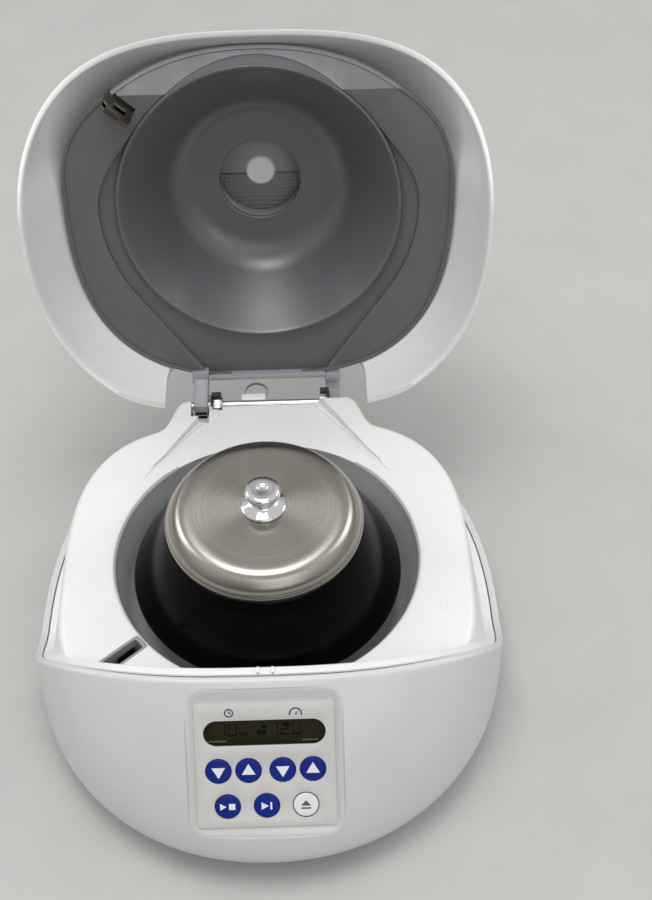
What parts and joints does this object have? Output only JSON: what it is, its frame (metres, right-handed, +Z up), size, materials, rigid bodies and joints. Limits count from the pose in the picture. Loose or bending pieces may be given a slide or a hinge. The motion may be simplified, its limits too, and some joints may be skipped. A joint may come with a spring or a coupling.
{
  "type": "microcentrifuge",
  "caption": "Compact bench microcentrifuge with a hinged domed lid standing open over a lidded fixed-angle rotor, and a keypad with a display on its sloping front.",
  "frame": {"origin": "on the bench under the rotor axis", "axes": "+X to the right, +Y to the back, +Z up; the keypad faces -Y"},
  "size_m": [0.226, 0.3448, 0.2309],
  "materials": {
    "shell_white": "smooth moulded, semi-gloss",
    "housing_grey": "smooth moulded, semi-gloss",
    "dark_grey": "fine grain",
    "arm_grey": "satin",
    "chamber_grey": "satin",
    "rubber": "matt",
    "base_black": "satin",
    "zinc": "bright zinc",
    "motor_grey": "satin",
    "pcb_green": "satin",
    "components": "satin",
    "brass_pins": "satin",
    "socket_black": "satin",
    "overlay_grey": "satin film",
    "lcd_glass": "polished",
    "lcd_olive": "satin",
    "key_blue": "satin film",
    "key_white": "satin film",
    "rotor_black": "gloss black anodised, turned",
    "lid_steel": "turned, fine rings",
    "chrome": "polished",
    "striker_bronze": "passivated steel",
    "sight_clear": "polished"
  },
  "bodies": {
    "base": {"lower_housing": "housing_grey", "top_cover": "shell_white", "chamber_bowl": "chamber_grey", "chamber_gasket": "rubber", "base_plate": "base_black", "rubber_feet": "rubber", "foot_screws": "zinc", "base_screws": "zinc", "motor_stator": "motor_grey", "motor_mounts": "rubber", "motor_bearings": "zinc", "control_board": "pcb_green", "board_components": "components", "power_transformer": "motor_grey", "mains_inlet": "socket_black", "inlet_pins": "brass_pins", "switch_frame": "socket_black", "keypad_overlay": "overlay_grey", "lcd_window": "lcd_glass", "lcd_module": "lcd_olive", "keypad_board": "pcb_green", "key_switches": "components", "latch_bezel": "dark_grey", "latch_bracket": "zinc", "latch_pin": "zinc", "latch_solenoid": "motor_grey", "lid_switch": "components", "hinge_brackets": "base_black", "hinge_rod": "chrome", "hinge_nuts": "zinc", "lid_stop_pads": "rubber", "rear_spacer": "shell_white", "spacer_pad": "arm_grey"},
    "rotor": {"rotor_body": "rotor_black", "rotor_nut": "zinc", "motor_shaft": "zinc", "motor_bell": "motor_grey"},
    "rotor_lid": {"rotor_lid": "lid_steel", "rotor_lid_seal": "rubber"},
    "knob": {"lid_knob": "chrome", "knob_stud": "zinc"},
    "key_time_down": {"key_time_down": "key_blue"},
    "key_time_up": {"key_time_up": "key_blue"},
    "key_speed_down": {"key_speed_down": "key_blue"},
    "key_speed_up": {"key_speed_up": "key_blue"},
    "key_start_stop": {"key_start_stop": "key_blue"},
    "key_short": {"key_short": "key_blue"},
    "key_open": {"key_open": "key_white"},
    "latch_lever": {"latch_lever": "zinc"},
    "solenoid_plunger": {"solenoid_plunger": "zinc"},
    "power_rocker": {"power_rocker": "socket_black"},
    "lid": {"lid_shell": "shell_white", "lid_liner": "dark_grey", "lid_funnel": "dark_grey", "sight_glass": "sight_clear", "lid_striker": "striker_bronze", "striker_screws": "zinc", "lid_rib_plate": "dark_grey", "liner_screws": "zinc"}
  },
  "joints": [
    {"name": "lid_hinge", "type": "hinge", "parent": "base", "child": "lid", "pos_m": [0, 0.107, 0.059], "axis": [1, 0, 0], "range_deg": [0, 108]},
    {"name": "rotor_spin", "type": "hinge", "parent": "base", "child": "rotor", "pos_m": [0, 0, 0.06], "axis": [0, 0, 1], "continuous": true},
    {"name": "rotor_lid_lift", "type": "slide", "parent": "rotor", "child": "rotor_lid", "axis": [0, 0, 1], "range_m": [0, 0.06]},
    {"name": "knob_turn", "type": "hinge", "parent": "rotor_lid", "child": "knob", "pos_m": [0, 0, 0.107], "axis": [0, 0, 1], "range_deg": [0, 720]},
    {"name": "key_time_down_press", "type": "slide", "parent": "base", "child": "key_time_down", "axis": [0, 0.788, -0.6157], "range_m": [0, 0.0005], "stiffness_N_per_m": 600, "springref_m": -0.0005},
    {"name": "key_time_up_press", "type": "slide", "parent": "base", "child": "key_time_up", "axis": [0, 0.788, -0.6157], "range_m": [0, 0.0005], "stiffness_N_per_m": 600, "springref_m": -0.0005},
    {"name": "key_speed_down_press", "type": "slide", "parent": "base", "child": "key_speed_down", "axis": [0, 0.788, -0.6157], "range_m": [0, 0.0005], "stiffness_N_per_m": 600, "springref_m": -0.0005},
    {"name": "key_speed_up_press", "type": "slide", "parent": "base", "child": "key_speed_up", "axis": [0, 0.788, -0.6157], "range_m": [0, 0.0005], "stiffness_N_per_m": 600, "springref_m": -0.0005},
    {"name": "key_start_stop_press", "type": "slide", "parent": "base", "child": "key_start_stop", "axis": [0, 0.788, -0.6157], "range_m": [0, 0.0005], "stiffness_N_per_m": 600, "springref_m": -0.0005},
    {"name": "key_short_press", "type": "slide", "parent": "base", "child": "key_short", "axis": [0, 0.788, -0.6157], "range_m": [0, 0.0005], "stiffness_N_per_m": 600, "springref_m": -0.0005},
    {"name": "key_open_press", "type": "slide", "parent": "base", "child": "key_open", "axis": [0, 0.788, -0.6157], "range_m": [0, 0.0005], "stiffness_N_per_m": 600, "springref_m": -0.0005},
    {"name": "latch_turn", "type": "hinge", "parent": "base", "child": "latch_lever", "pos_m": [-0.07339, -0.06078, 0.046], "axis": [-0.6428, 0.766, 0], "range_deg": [0, 26]},
    {"name": "plunger_slide", "type": "slide", "parent": "base", "child": "solenoid_plunger", "axis": [-0.766, -0.6428, 0], "range_m": [0, 0.00923]},
    {"name": "rocker_tilt", "type": "hinge", "parent": "base", "child": "power_rocker", "pos_m": [0.03, 0.099, 0.0215], "axis": [0, 0, 1], "range_deg": [-16, 0]}
  ],
  "couplings": [
    {"joint": "latch_turn", "follows": "plunger_slide", "rad_per_m": 49.164}
  ]
}
